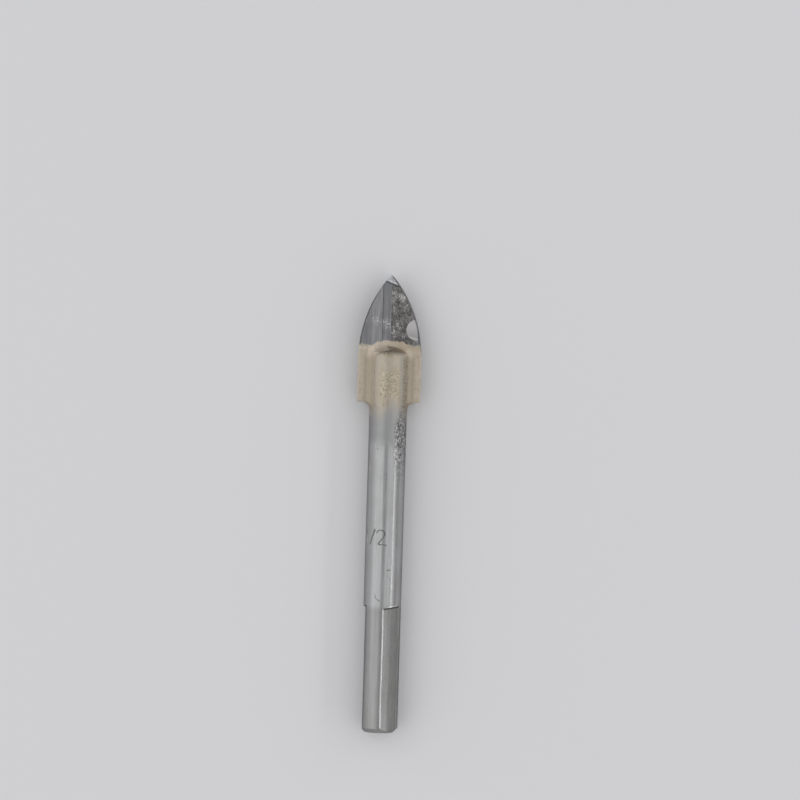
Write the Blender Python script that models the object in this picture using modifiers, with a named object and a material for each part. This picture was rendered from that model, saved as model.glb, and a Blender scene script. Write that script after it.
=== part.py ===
"""Spear-point drill bit for glass and tile, lying on its round shank with its point towards +Y.

A carbide plate, ground to a point, sits in a slot across the nose of a round steel shank. A folded
brass foil, melted in the slot, holds it and leaves a rounded fillet all along the joint. Three flats
at the tail stop the shank from slipping in a chuck. All lengths are in metres.
"""

from math import asin, cos, pi, radians, sin, sqrt, tan

import bmesh
import bpy
from mathutils import Matrix, Vector

# Whole bit
OVERALL_LENGTH = 0.0920

# Steel shank
SHANK_DIAMETER = 0.0076
NOSE_HALF_ANGLE = radians(60)
NOSE_ROUNDING = 0.0006
TAIL_CHAMFER = 0.0009
SEAT_DEPTH = 0.0097  # from the nose's shoulder down to the end of the plate

# Three flats for the chuck
FLAT_COUNT = 3
FLAT_LENGTH = 0.0253
FLAT_DEPTH = 0.00054
FLAT_TURN = radians(34)  # first flat, turned from the plate's wide face

# Carbide plate
PLATE_WIDTH = 0.0127
PLATE_THICKNESS = 0.0030
PLATE_LENGTH = 0.0255
POINT_LENGTH = 0.0167  # from the tip to where the curved edges meet the parallel sides
EDGE_RELIEF = radians(9)
RELIEF_FADE = 0.0040
FLANK_ANGLE = radians(12)
FLANK_WHEEL_RADIUS = 0.0045
FLANK_STANDOFF = 0.0002  # from the end of the ground flank to the braze
POINT_FACET_AXIS = 0.0015  # where the point's facet starts on the axis, from the tip
POINT_FACET_EDGE = 0.0025  # and where it starts on the cutting edge
WEB_AT_POINT = 0.0015

# Brazed joint
BRAZE_FOIL = 0.00012
JOINT_GAP = 0.00004  # keeps neighbouring solids apart, and stays thinner than the foil
NOSE_FILLET = 0.0026
UNDER_WING_FILLET = 0.0015
FILLET_EDGE_MARGIN = 0.0006  # bare carbide that a fillet leaves at the wing's edge
FILLET_OVERLAP = 0.00025  # how far the fillet runs into its neighbours before it is trimmed
EDGE_ROLL = 0.0003  # how roundly the fillet passes the end of the plate

# Fineness
SHANK_SIDES = 50  # an even number that isn't a multiple of 4 puts a facet flat on the bench
ARC_STEPS = 24
ARC_CROWDING = 1.3  # over 1, it draws the points of an arc towards the tip
FILLET_STEPS = 6
SHARP_ANGLE = radians(25)
WELD = 1e-6
CUTTER_MARGIN = 0.0020

# Derived places, measured from the tip along the axis
SHANK_RADIUS = SHANK_DIAMETER / 2
HALF_WIDTH = PLATE_WIDTH / 2
HALF_THICKNESS = PLATE_THICKNESS / 2
EDGE_INSET = PLATE_THICKNESS * tan(EDGE_RELIEF)
CHISEL_HALF_WIDTH = EDGE_INSET / 2
SHOULDER = PLATE_LENGTH - SEAT_DEPTH
NOSE_APEX = SHOULDER - SHANK_RADIUS / tan(NOSE_HALF_ANGLE)
SLOT_CLEARANCE = BRAZE_FOIL + 2 * JOINT_GAP
SLOT_HALF_WIDTH = HALF_THICKNESS + SLOT_CLEARANCE
SLOT_END = PLATE_LENGTH + SLOT_CLEARANCE
FLAT_DISTANCE = SHANK_RADIUS - FLAT_DEPTH
AXIS_HEIGHT = SHANK_RADIUS * cos(pi / SHANK_SIDES)
TIP_Y = OVERALL_LENGTH / 2

# A fillet is limited by the wing that it lies on.
FILLET_ROOM = HALF_WIDTH - FILLET_EDGE_MARGIN
WIDEST_SIDE_FILLET = (FILLET_ROOM**2 - SHANK_RADIUS**2 + HALF_THICKNESS**2) / (
    2 * (SHANK_RADIUS - HALF_THICKNESS)
)
SIDE_FILLET = min(NOSE_FILLET, WIDEST_SIDE_FILLET)
END_FILLET = min(UNDER_WING_FILLET, FILLET_ROOM - SHANK_RADIUS)


def place(across, from_tip, up):
    """A point of the bit in the world: across the plate, along the axis from the tip, and above the axis."""
    return Vector((across, TIP_Y - from_tip, AXIS_HEIGHT + up))


def clear_scene():
    for obj in list(bpy.data.objects):
        bpy.data.objects.remove(obj, do_unlink=True)


def collection(name):
    made = bpy.data.collections.new(name)
    bpy.context.scene.collection.children.link(made)
    return made


def material(name, colour, roughness, metallic):
    made = bpy.data.materials.new(name)
    made.use_nodes = True
    shader = made.node_tree.nodes["Principled BSDF"]
    shader.inputs["Base Color"].default_value = (*colour, 1)
    shader.inputs["Roughness"].default_value = roughness
    shader.inputs["Metallic"].default_value = metallic
    made.diffuse_color = (*colour, 1)
    return made


def add_object(name, mesh, home):
    obj = bpy.data.objects.new(name, mesh)
    home.objects.link(obj)
    return obj


def mesh_from(name, build):
    """A mesh from a bmesh that build() fills, with its faces pointing out."""
    shape = bmesh.new()
    build(shape)
    bmesh.ops.recalc_face_normals(shape, faces=shape.faces)
    mesh = bpy.data.meshes.new(name)
    shape.to_mesh(mesh)
    shape.free()
    return mesh


def evaluated_mesh(obj):
    graph = bpy.context.evaluated_depsgraph_get()
    return bpy.data.meshes.new_from_object(obj.evaluated_get(graph), depsgraph=graph)


def hide_cutter(obj):
    obj.hide_render = True
    obj.display_type = "WIRE"
    return obj


def boolean(obj, other, operation):
    step = obj.modifiers.new(f"{operation.title()} {other.name}", "BOOLEAN")
    step.operation = operation
    step.object = other
    step.solver = "EXACT"


def finish(obj, finish_material):
    """Applies the modifiers, smooths the round faces and keeps the true edges sharp."""
    mesh = evaluated_mesh(obj)
    obj.modifiers.clear()
    obj.data = mesh
    mesh.shade_smooth()
    mesh.set_sharp_from_angle(angle=SHARP_ANGLE)
    mesh.materials.clear()
    mesh.materials.append(finish_material)


def box_cutter(name, low, high, home):
    """A box between two corners, each given across, from the tip, and up."""
    ends = place(*low), place(*high)
    size = [abs(high_end - low_end) for low_end, high_end in zip(*ends)]
    frame = Matrix.Translation((ends[0] + ends[1]) / 2) @ Matrix.Diagonal((*size, 1))
    mesh = mesh_from(name, lambda shape: bmesh.ops.create_cube(shape, size=1, matrix=frame))
    return hide_cutter(add_object(name, mesh, home))


def outline_solid(name, points, thickness, frame, home):
    """A flat outline made solid by half its thickness to each side of its plane."""
    curve = bpy.data.curves.new(name, "CURVE")
    curve.dimensions = "2D"
    curve.fill_mode = "BOTH"
    curve.extrude = thickness / 2
    line = curve.splines.new("POLY")
    line.points.add(len(points) - 1)
    for point, (x, y) in zip(line.points, points):
        point.co = (x, y, 0, 1)
    line.use_cyclic_u = True
    drawn = add_object(name + "_outline", curve, home)
    bpy.context.view_layer.update()
    mesh = evaluated_mesh(drawn)
    bpy.data.objects.remove(drawn)
    shape = bmesh.new()
    shape.from_mesh(mesh)
    bmesh.ops.remove_doubles(shape, verts=shape.verts, dist=WELD)
    bmesh.ops.transform(shape, matrix=frame, verts=shape.verts)
    bmesh.ops.recalc_face_normals(shape, faces=shape.faces)
    shape.to_mesh(mesh)
    shape.free()
    return add_object(name, mesh, home)


def turned(name, profile, home):
    """A profile of (radius, distance from the tip), from the nose to the tail, turned about the axis."""
    mesh = bpy.data.meshes.new(name)
    points = [(radius, 0, TIP_Y - from_tip) for radius, from_tip in profile]
    mesh.from_pydata(points, [(i, i + 1) for i in range(len(points) - 1)], [])
    obj = add_object(name, mesh, home)
    obj.location.z = AXIS_HEIGHT
    obj.rotation_euler.x = -pi / 2
    screw = obj.modifiers.new("Turn", "SCREW")
    screw.steps = SHANK_SIDES
    screw.render_steps = SHANK_SIDES
    screw.use_merge_vertices = True
    screw.merge_threshold = WELD
    return obj


def round_profile(grow=0.0):
    """The shank before it is slotted: conical nose, rounded shoulder, cylinder and chamfered tail.

    grow moves every surface outwards, for the envelopes that trim the braze."""
    radius = SHANK_RADIUS + grow
    apex = NOSE_APEX - grow / sin(NOSE_HALF_ANGLE)
    rounding = NOSE_ROUNDING + grow
    corner = apex + radius / tan(NOSE_HALF_ANGLE)
    centre = corner + rounding * tan(NOSE_HALF_ANGLE / 2)
    profile = [(0, apex)]
    steps = FILLET_STEPS
    for i in range(steps + 1):
        turn = NOSE_HALF_ANGLE * (1 - i / steps)
        profile.append((radius - rounding * (1 - cos(turn)), centre - rounding * sin(turn)))
    tail = OVERALL_LENGTH + grow
    profile.append((radius, tail - TAIL_CHAMFER))
    profile.append((radius - TAIL_CHAMFER, tail))
    profile.append((0, tail))
    return profile


def flat_cutter(number, home):
    """A block whose inner face is one flat. The flats are spread evenly round the shank."""
    turn = FLAT_TURN + number * 2 * pi / FLAT_COUNT
    outwards = Vector((sin(turn), 0, cos(turn)))
    depth = FLAT_DEPTH + CUTTER_MARGIN
    length = FLAT_LENGTH + CUTTER_MARGIN
    start = OVERALL_LENGTH - FLAT_LENGTH
    middle = place(0, start + length / 2, 0) + outwards * (FLAT_DISTANCE + depth / 2)
    frame = (
        Matrix.Translation(middle)
        @ Matrix.Rotation(turn, 4, "Y")
        @ Matrix.Diagonal((SHANK_DIAMETER, length, depth, 1))
    )
    name = f"flat_cutter_{number + 1}"
    mesh = mesh_from(name, lambda shape: bmesh.ops.create_cube(shape, size=1, matrix=frame))
    return hide_cutter(add_object(name, mesh, home))


def build_shank(parts, cutters):
    shank = turned("shank", round_profile(), parts)
    reach = SHANK_RADIUS + CUTTER_MARGIN
    slot = box_cutter(
        "slot_cutter",
        (-reach, NOSE_APEX - CUTTER_MARGIN, -SLOT_HALF_WIDTH),
        (reach, SLOT_END, SLOT_HALF_WIDTH),
        cutters,
    )
    boolean(shank, slot, "DIFFERENCE")
    for number in range(FLAT_COUNT):
        boolean(shank, flat_cutter(number, cutters), "DIFFERENCE")
    finish(shank, material("satin steel", (0.42, 0.42, 0.41), 0.34, 1.0))


def blend(start, end, share):
    share = max(0.0, min(1.0, share))
    return start + (end - start) * share * share * (3 - 2 * share)


def edge_half_width(from_tip):
    """Half the plate's width. Each cutting edge is an arc that ends parallel to the axis."""
    if from_tip >= POINT_LENGTH:
        return HALF_WIDTH
    rise = HALF_WIDTH - CHISEL_HALF_WIDTH
    radius = (POINT_LENGTH**2 + rise**2) / (2 * rise)
    return HALF_WIDTH - radius + sqrt(radius**2 - (POINT_LENGTH - from_tip) ** 2)


def relief_inset(from_tip):
    """How far the trailing side of the ground edge lies inside the cutting side."""
    return blend(0, EDGE_INSET, (POINT_LENGTH - from_tip) / RELIEF_FADE)


def plate_outline(leading):
    """The plate's outline on one wide face, from the left wing's end over the tip to the right one's.

    leading is the side, -1 or 1, whose cutting edge lies in this face. The other side is relieved."""
    shares = [(i / ARC_STEPS) ** ARC_CROWDING for i in range(1, ARC_STEPS + 1)]
    stations = [POINT_LENGTH * share for share in shares] + [PLATE_LENGTH]

    def across(side, from_tip):
        inset = 0 if side == leading else relief_inset(from_tip)
        return side * (edge_half_width(from_tip) - inset)

    left = [(across(-1, station), station) for station in reversed(stations)]
    tip = [((across(-1, 0) + across(1, 0)) / 2, 0)]
    right = [(across(1, station), station) for station in stations]
    return left + tip + right


def build_plate_blank(shape):
    """The plate before its faces are ground: a loft between the outlines of its two wide faces."""
    front = [shape.verts.new(place(x, s, HALF_THICKNESS)) for x, s in plate_outline(-1)]
    back = [shape.verts.new(place(x, s, -HALF_THICKNESS)) for x, s in plate_outline(1)]
    shape.faces.new(front)
    shape.faces.new(reversed(back))
    for i in range(len(front)):
        j = (i + 1) % len(front)
        shape.faces.new((front[i], front[j], back[j], back[i]))


def nose_fillet_start():
    """Where the braze fillet starts on the plate, on the axis."""
    lift = HALF_THICKNESS + SIDE_FILLET
    contact_radius = lift - SIDE_FILLET * cos(NOSE_HALF_ANGLE)
    contact = NOSE_APEX + contact_radius / tan(NOSE_HALF_ANGLE)
    return contact - SIDE_FILLET * sin(NOSE_HALF_ANGLE)


def flank_cutter(home):
    """What the wheel removes from one trailing side: a plane off the ridge, run out in an arc at the nose."""
    drop = HALF_WIDTH * tan(FLANK_ANGLE)
    run_out = sqrt(max(0, 2 * FLANK_WHEEL_RADIUS * drop - drop**2))
    end = nose_fillet_start() - FLANK_STANDOFF - run_out
    height = FLANK_WHEEL_RADIUS + CUTTER_MARGIN
    outline = [(-CUTTER_MARGIN, height), (-CUTTER_MARGIN, 0)]
    for i in range(FILLET_STEPS + 1):
        turn = i / FILLET_STEPS * pi / 2
        outline.append(
            (end + FLANK_WHEEL_RADIUS * sin(turn), FLANK_WHEEL_RADIUS * (1 - cos(turn)))
        )
    outline.append((end + FLANK_WHEEL_RADIUS, height))
    width = HALF_WIDTH + 2 * CUTTER_MARGIN
    along = Vector((0, -1, 0))
    outwards = Vector((sin(FLANK_ANGLE), 0, cos(FLANK_ANGLE)))
    inwards = along.cross(outwards)
    frame = Matrix((along, outwards, inwards)).transposed().to_4x4()
    frame.translation = place(0, 0, HALF_THICKNESS) - inwards * (width / 2 - CUTTER_MARGIN)
    return hide_cutter(outline_solid("flank_cutter", outline, width, frame, home))


def point_cutter(home):
    """The small facet across the point, through three points: on the ridge, on the edge and at the tip."""
    across = edge_half_width(POINT_FACET_EDGE)
    ridge = place(0, POINT_FACET_AXIS, HALF_THICKNESS)
    edge = place(across, POINT_FACET_EDGE, HALF_THICKNESS - across * tan(FLANK_ANGLE))
    tip = place(0, 0, WEB_AT_POINT / 2)
    outwards = (edge - ridge).cross(tip - ridge).normalized()
    if outwards.z < 0:
        outwards.negate()
    along = (edge - ridge).normalized()
    size = POINT_LENGTH
    frame = Matrix((along, outwards.cross(along), outwards)).transposed().to_4x4()
    frame.translation = ridge + outwards * size / 2
    frame = frame @ Matrix.Diagonal((size, size, size, 1))
    mesh = mesh_from(
        "point_cutter", lambda shape: bmesh.ops.create_cube(shape, size=1, matrix=frame)
    )
    return hide_cutter(add_object("point_cutter", mesh, home))


def turned_over(cutter, home):
    """A copy of a cutter for the other wide face, turned half round about the bit's axis."""
    mesh = cutter.data.copy()
    centre = Matrix.Translation((0, 0, AXIS_HEIGHT))
    mesh.transform(centre @ Matrix.Rotation(pi, 4, "Y") @ centre.inverted())
    return hide_cutter(add_object(cutter.name + "_back", mesh, home))


def build_tip(parts, cutters):
    tip = add_object("carbide_tip", mesh_from("carbide_tip", build_plate_blank), parts)
    for cutter in (flank_cutter(cutters), point_cutter(cutters)):
        boolean(tip, cutter, "DIFFERENCE")
        boolean(tip, turned_over(cutter, cutters), "DIFFERENCE")
    finish(tip, material("sintered carbide", (0.24, 0.24, 0.25), 0.42, 1.0))


def rolling_ball(ball, out, from_tip, to_plate, to_steel):
    """One station of a ball rolled along the joint. out is its height and its distance off the axis."""
    lift, off_axis = out
    across = sqrt(max(0, off_axis**2 - lift**2))
    radial = Vector((across, 0, lift)) / off_axis
    steel = Vector((-radial.x * to_steel[0], to_steel[1], -radial.z * to_steel[0]))
    return Vector((across, from_tip, lift)), Vector(to_plate), steel, ball


def quarter_path():
    """Stations from the front of the nose, down the right wing's front and round to below its end."""
    cone = NOSE_HALF_ANGLE
    nose_ball = SIDE_FILLET
    lift = HALF_THICKNESS + nose_ball
    corner = SHANK_RADIUS - NOSE_ROUNDING
    round_start = SHOULDER + NOSE_ROUNDING * tan(cone / 2)
    down = (0, 0, -1)
    stations = []
    reach = corner + (NOSE_ROUNDING + nose_ball) * cos(cone)
    swing = asin(sqrt(max(0, 1 - (lift / reach) ** 2)))
    for i in range(FILLET_STEPS):
        off_axis = lift / cos(swing * i / FILLET_STEPS)
        contact = off_axis - nose_ball * cos(cone)
        from_tip = NOSE_APEX + contact / tan(cone) - nose_ball * sin(cone)
        to_steel = (cos(cone), sin(cone))
        stations.append(rolling_ball(nose_ball, (lift, off_axis), from_tip, down, to_steel))
    for i in range(FILLET_STEPS):
        turn = cone * (1 - i / FILLET_STEPS)
        off_axis = corner + (NOSE_ROUNDING + nose_ball) * cos(turn)
        from_tip = round_start - (NOSE_ROUNDING + nose_ball) * sin(turn)
        to_steel = (cos(turn), sin(turn))
        stations.append(rolling_ball(nose_ball, (lift, off_axis), from_tip, down, to_steel))
    straight_end = PLATE_LENGTH - EDGE_ROLL
    inwards = (1, 0)
    out = lift, SHANK_RADIUS + nose_ball
    stations.append(rolling_ball(nose_ball, out, round_start, down, inwards))
    for i in range(FILLET_STEPS + 1):
        turn = pi / 2 * i / FILLET_STEPS
        ball = blend(nose_ball, END_FILLET, i / FILLET_STEPS)
        lift = HALF_THICKNESS - EDGE_ROLL + (ball + EDGE_ROLL) * cos(turn)
        from_tip = straight_end + (ball + EDGE_ROLL) * sin(turn)
        to_plate = (0, -sin(turn), -cos(turn))
        out = lift, SHANK_RADIUS + ball
        stations.append(rolling_ball(ball, out, from_tip, to_plate, inwards))
    out = 0, SHANK_RADIUS + ball
    stations.append(rolling_ball(ball, out, PLATE_LENGTH + ball, (0, -1, 0), inwards))
    return stations


def fillet_section(station):
    """The fillet's section at a station: its hollow arc, closed by a corner buried in both neighbours."""
    centre, to_plate, to_steel, ball = station
    arc = []
    for i in range(FILLET_STEPS + 1):
        arc.append(centre + to_plate.slerp(to_steel, i / FILLET_STEPS) * ball)
    deep = ball + FILLET_OVERLAP
    corner = centre + (to_plate + to_steel) * deep / (1 + to_plate.dot(to_steel))
    return arc + [centre + to_steel * deep, corner, centre + to_plate * deep]


def build_fillet(shape):
    """One closed ring: over the nose's front, under a wing, over its back and under the other wing."""
    quarter = [fillet_section(station) for station in quarter_path()]
    loop = []
    for side, face, order in ((1, 1, 1), (1, -1, -1), (-1, -1, 1), (-1, 1, -1)):
        sections = quarter[::order]
        for section in sections[:-1]:
            loop.append([place(side * p.x, p.y, face * p.z) for p in section])
    rings = [[shape.verts.new(point) for point in section] for section in loop]
    for k, ring in enumerate(rings):
        following = rings[(k + 1) % len(rings)]
        for i in range(len(ring)):
            j = (i + 1) % len(ring)
            shape.faces.new((ring[i], ring[j], following[j], following[i]))


def build_foil(cutters):
    """The nose's round as far as the slot reaches. Trimmed by the steel and the plate, it is the foil."""
    foil = turned("braze_foil", round_profile(JOINT_GAP / 2), cutters)
    wide = SHANK_RADIUS + CUTTER_MARGIN
    thick = SLOT_HALF_WIDTH + FILLET_OVERLAP
    slab = box_cutter(
        "foil_envelope",
        (-wide, NOSE_APEX - CUTTER_MARGIN, -thick),
        (wide, SLOT_END + FILLET_OVERLAP, thick),
        cutters,
    )
    boolean(foil, slab, "INTERSECT")
    return hide_cutter(foil)


def build_braze(parts, cutters):
    braze = add_object("braze_joint", mesh_from("braze_joint", build_fillet), parts)
    steel = hide_cutter(turned("steel_envelope", round_profile(JOINT_GAP), cutters))
    reach = SHANK_RADIUS + CUTTER_MARGIN
    slot = box_cutter(
        "slot_envelope",
        (-reach, NOSE_APEX - CUTTER_MARGIN, -SLOT_HALF_WIDTH + JOINT_GAP),
        (reach, SLOT_END - JOINT_GAP, SLOT_HALF_WIDTH - JOINT_GAP),
        cutters,
    )
    boolean(steel, slot, "DIFFERENCE")
    wing = HALF_WIDTH + CUTTER_MARGIN
    plate = box_cutter(
        "plate_envelope",
        (-wing, 0, -HALF_THICKNESS - JOINT_GAP),
        (wing, PLATE_LENGTH + JOINT_GAP, HALF_THICKNESS + JOINT_GAP),
        cutters,
    )
    boolean(braze, build_foil(cutters), "UNION")
    boolean(braze, steel, "DIFFERENCE")
    boolean(braze, plate, "DIFFERENCE")
    finish(braze, material("braze brass", (0.62, 0.51, 0.33), 0.38, 1.0))


clear_scene()
bit_parts = collection("glass_and_tile_drill_bit")
bit_cutters = collection("cutters")
build_shank(bit_parts, bit_cutters)
build_tip(bit_parts, bit_cutters)
build_braze(bit_parts, bit_cutters)
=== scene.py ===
import bmesh
import bpy
from math import cos, pi, radians, sin, sqrt, tan
from mathutils import Matrix, Vector
from mathutils.bvhtree import BVHTree


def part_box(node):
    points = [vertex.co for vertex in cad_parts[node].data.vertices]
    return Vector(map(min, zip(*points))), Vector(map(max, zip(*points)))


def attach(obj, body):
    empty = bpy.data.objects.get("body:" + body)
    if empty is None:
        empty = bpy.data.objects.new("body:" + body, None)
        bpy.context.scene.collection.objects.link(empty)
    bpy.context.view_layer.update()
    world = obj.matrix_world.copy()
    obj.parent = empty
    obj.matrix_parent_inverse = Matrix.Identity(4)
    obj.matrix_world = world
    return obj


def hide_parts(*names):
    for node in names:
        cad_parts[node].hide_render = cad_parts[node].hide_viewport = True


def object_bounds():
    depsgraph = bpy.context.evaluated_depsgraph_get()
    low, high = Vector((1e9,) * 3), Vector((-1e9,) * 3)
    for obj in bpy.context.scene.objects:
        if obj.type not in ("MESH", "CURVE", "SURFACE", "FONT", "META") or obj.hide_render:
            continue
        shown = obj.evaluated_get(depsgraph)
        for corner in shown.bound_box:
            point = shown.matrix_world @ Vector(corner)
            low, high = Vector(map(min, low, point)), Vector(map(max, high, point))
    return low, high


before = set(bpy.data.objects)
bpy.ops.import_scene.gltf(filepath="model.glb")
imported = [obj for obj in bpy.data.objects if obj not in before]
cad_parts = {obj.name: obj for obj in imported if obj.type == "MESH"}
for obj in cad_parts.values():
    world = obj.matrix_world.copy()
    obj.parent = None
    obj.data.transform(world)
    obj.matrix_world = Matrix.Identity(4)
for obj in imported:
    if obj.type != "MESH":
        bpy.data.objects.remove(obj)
cad_low, cad_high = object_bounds()

# Shank bar
# The shank is a ground bar of carbon steel, 7.6 mm thick. Its nose is turned to a blunt cone and its
# tail is chamfered. The slot for the plate and the three chuck flats are cut into it further down.
tip_y = cad_high.y
tail_y = cad_low.y
axis_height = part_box("shank")[1].z / 2
shank_radius = axis_height
shoulder_y = tip_y - 0.0158
nose_half_angle = radians(60)
nose_rounding = 0.0006
tail_chamfer = 0.0009
bar_sides = 192
ring_count = 80


def put_down_everything():
    bpy.ops.object.select_all(action="DESELECT")


def take(piece):
    put_down_everything()
    piece.select_set(True)
    bpy.context.view_layer.objects.active = piece
    return piece


def new_piece(name):
    """Names the primitive just added and moves its place into its mesh."""
    piece = take(bpy.context.object)
    piece.name = piece.data.name = name
    bpy.ops.object.transform_apply(location=True, rotation=True, scale=True)
    return piece


def pick(piece, kind, test):
    """Enters edit mode with only the vertices, edges or faces selected whose middle passes the test."""
    take(piece)
    bpy.ops.object.mode_set(mode="EDIT")
    bpy.ops.mesh.select_mode(type=kind)
    bpy.ops.mesh.select_all(action="DESELECT")
    mesh = bmesh.from_edit_mesh(piece.data)
    for item in {"VERT": mesh.verts, "EDGE": mesh.edges, "FACE": mesh.faces}[kind]:
        corners = [item.co] if kind == "VERT" else [v.co for v in item.verts]
        item.select_set(test(sum(corners, Vector()) / len(corners), corners))
    mesh.select_flush_mode()
    bmesh.update_edit_mesh(piece.data)


def done():
    bpy.ops.object.mode_set(mode="OBJECT")


def apply_modifier(piece, kind, **settings):
    take(piece)
    step = piece.modifiers.new(kind.title(), kind)
    for name, value in settings.items():
        setattr(step, name, value)
    bpy.ops.object.modifier_apply(modifier=step.name)


def cut(piece, tool, operation="DIFFERENCE", solver="EXACT"):
    apply_modifier(piece, "BOOLEAN", object=tool, operation=operation, solver=solver)
    bpy.data.objects.remove(tool)


put_down_everything()
bpy.ops.mesh.primitive_cylinder_add(
    vertices=bar_sides,
    radius=shank_radius,
    depth=shoulder_y - tail_y,
    location=(0, (shoulder_y + tail_y) / 2, axis_height),
    rotation=(-pi / 2, 0, 0),
)
bar = new_piece("shank_bar")
pick(bar, "FACE", lambda middle, corners: middle.y > shoulder_y - 1e-5)
cone_length = shank_radius / tan(nose_half_angle)
bpy.ops.mesh.extrude_region_move(TRANSFORM_OT_translate={"value": (0, cone_length * 0.98, 0)})
bpy.ops.transform.resize(value=(0.02, 1, 0.02))
done()
pick(bar, "EDGE", lambda middle, corners: all(abs(c.y - shoulder_y) < 1e-6 for c in corners))
bpy.ops.mesh.bevel(offset=nose_rounding, segments=6, affect="EDGES")
done()
pick(bar, "EDGE", lambda middle, corners: all(abs(c.y - tail_y) < 1e-6 for c in corners))
bpy.ops.mesh.bevel(offset=tail_chamfer, segments=1, affect="EDGES")
done()


def copied(piece, name):
    made = bpy.data.objects.new(name, piece.data.copy())
    bpy.context.collection.objects.link(made)
    return made


solid_bar = copied(bar, "solid_bar")
pick(bar, "EDGE", lambda middle, corners: abs(corners[0].y - corners[1].y) > 0.02)
bpy.ops.mesh.subdivide(number_cuts=ring_count)
done()

# Slot and flats
# A slitting saw cuts the slot through the nose, a shade wider than the plate. Three flats, ground at
# the tail and a third of a turn apart, stop the bit from slipping in a chuck. The wheel took each in
# two passes, a few degrees off square, and pushed up a thin burr at the step.
slot_half_width = 0.0017
slot_end_y = tip_y - 0.0257
flat_length = 0.0253
flat_turns = [radians(34 + 120 * number) for number in range(3)]
flat_passes = ((radians(-3.2), 0.00338), (radians(3.2), 0.00333))
flat_skew = radians(8)
step_y = tail_y + flat_length


def on_bar(degrees, y, depth=0.0):
    """A point of the bar's surface, at an angle from the top towards the viewer's right."""
    turn = radians(degrees)
    reach = shank_radius - depth
    return Vector((sin(turn) * reach, y, axis_height + cos(turn) * reach))


def drawn_line(name, points, radius, widths):
    """A round wire through the points, as a mesh. The widths take turns from point to point."""
    line = bpy.data.curves.new(name, "CURVE")
    line.dimensions = "3D"
    line.bevel_depth = radius
    line.bevel_resolution = 2
    line.use_fill_caps = True
    spline = line.splines.new("POLY")
    spline.points.add(len(points) - 1)
    for number, point in enumerate(points):
        spline.points[number].co = (*point, 1)
        spline.points[number].radius = widths[number % len(widths)]
    drawn = bpy.data.objects.new(name, line)
    bpy.context.collection.objects.link(drawn)
    take(drawn)
    bpy.ops.object.convert(target="MESH")
    drawn = bpy.context.object
    pick(drawn, "VERT", lambda middle, corners: True)
    bpy.ops.mesh.remove_doubles(threshold=1e-8)
    bpy.ops.mesh.normals_make_consistent(inside=False)
    done()
    return drawn


put_down_everything()
bpy.ops.mesh.primitive_cube_add(
    size=1,
    location=(0, slot_end_y + 0.01, axis_height),
    scale=(0.012, 0.02, 2 * slot_half_width),
)
cut(bar, new_piece("slitting_saw"))

for turn in flat_turns:
    for tilt, distance in flat_passes:
        put_down_everything()
        bpy.ops.mesh.primitive_cube_add(size=1, scale=(0.012, 0.030, 0.004))
        wheel = new_piece("flat_wheel")
        wheel.data.transform(
            Matrix.Translation((0, step_y - 0.015, axis_height))
            @ Matrix.Rotation(turn + tilt, 4, "Y")
            @ Matrix.Translation((0, 0.015, distance + 0.002))
            @ Matrix.Rotation(flat_skew, 4, "Z")
            @ Matrix.Translation((0, -0.015, 0))
        )
        cut(bar, wheel)

apply_modifier(
    bar, "BEVEL", width=0.00013, segments=3, limit_method="ANGLE", angle_limit=radians(24)
)
for turn in flat_turns:
    burr = []
    for number in range(14):
        swing = radians(-28 + 57 * number / 13)
        if abs(cos(turn + swing)) < 0.97:
            ahead = tan(flat_skew) * shank_radius * sin(swing)
            burr.append(on_bar((turn + swing) * 180 / pi, step_y + ahead + 0.00013, 0.00003))
    cut(bar, drawn_line("burr", burr, 0.00007, (0.6, 0.9, 0.7, 1.1, 1.2, 0.9, 1.2, 0.8)), "UNION")

# Size mark and knocks
# The size, half an inch, is scratched into the bar by an engraving pen in plain figures. A few knocks
# and scratches from handling lie near it.
mark_y = -0.0081
mark_height = 0.0029
pen_strokes = [
    (0.00014, [(-67, 0.78), (-63, 1.0), (-62, 0.5), (-61, 0.0)]),
    (0.00019, [(-30, 1.04), (-36, 0.7), (-42, 0.35), (-48, -0.02)]),
    (
        0.00012,
        [
            (-24, 0.78),
            (-20, 0.94),
            (-13, 1.0),
            (-5, 0.97),
            (1, 0.85),
            (2, 0.68),
            (-3, 0.48),
            (-10, 0.27),
            (-19, 0.03),
        ],
    ),
    (0.00012, [(-19, 0.03), (-12, -0.02), (-5, 0.01), (4, -0.05), (8, -0.06)]),
]
for pen, stroke in pen_strokes:
    scratch = [on_bar(degrees, mark_y + share * mark_height, -0.00005) for degrees, share in stroke]
    cut(bar, drawn_line("pen_stroke", scratch, pen, (1.2, 1.2, 1.0, 1.1)))

scratches = [
    [(9, -0.0132), (15, -0.0133), (22, -0.0131)],
    [(13, -0.0131), (20, -0.0132)],
    [(-24, -0.0178), (-23, -0.0188), (-19, -0.0190)],
    [(-19, -0.0190), (-13, -0.0193), (-7, -0.0195)],
    [(-3, 0.0064), (3, 0.0060), (-2, 0.0055), (3, 0.0050)],
    [(-62, 0.0078), (-63, 0.0066)],
    [(200, -0.0130), (212, -0.0118)],
    [(100, 0.0080), (104, 0.0030)],
]
for scratch in scratches:
    places = [on_bar(degrees, y, -0.00003) for degrees, y in scratch]
    cut(bar, drawn_line("scratch", places, 0.00009, (0.8, 1.3)))

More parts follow.
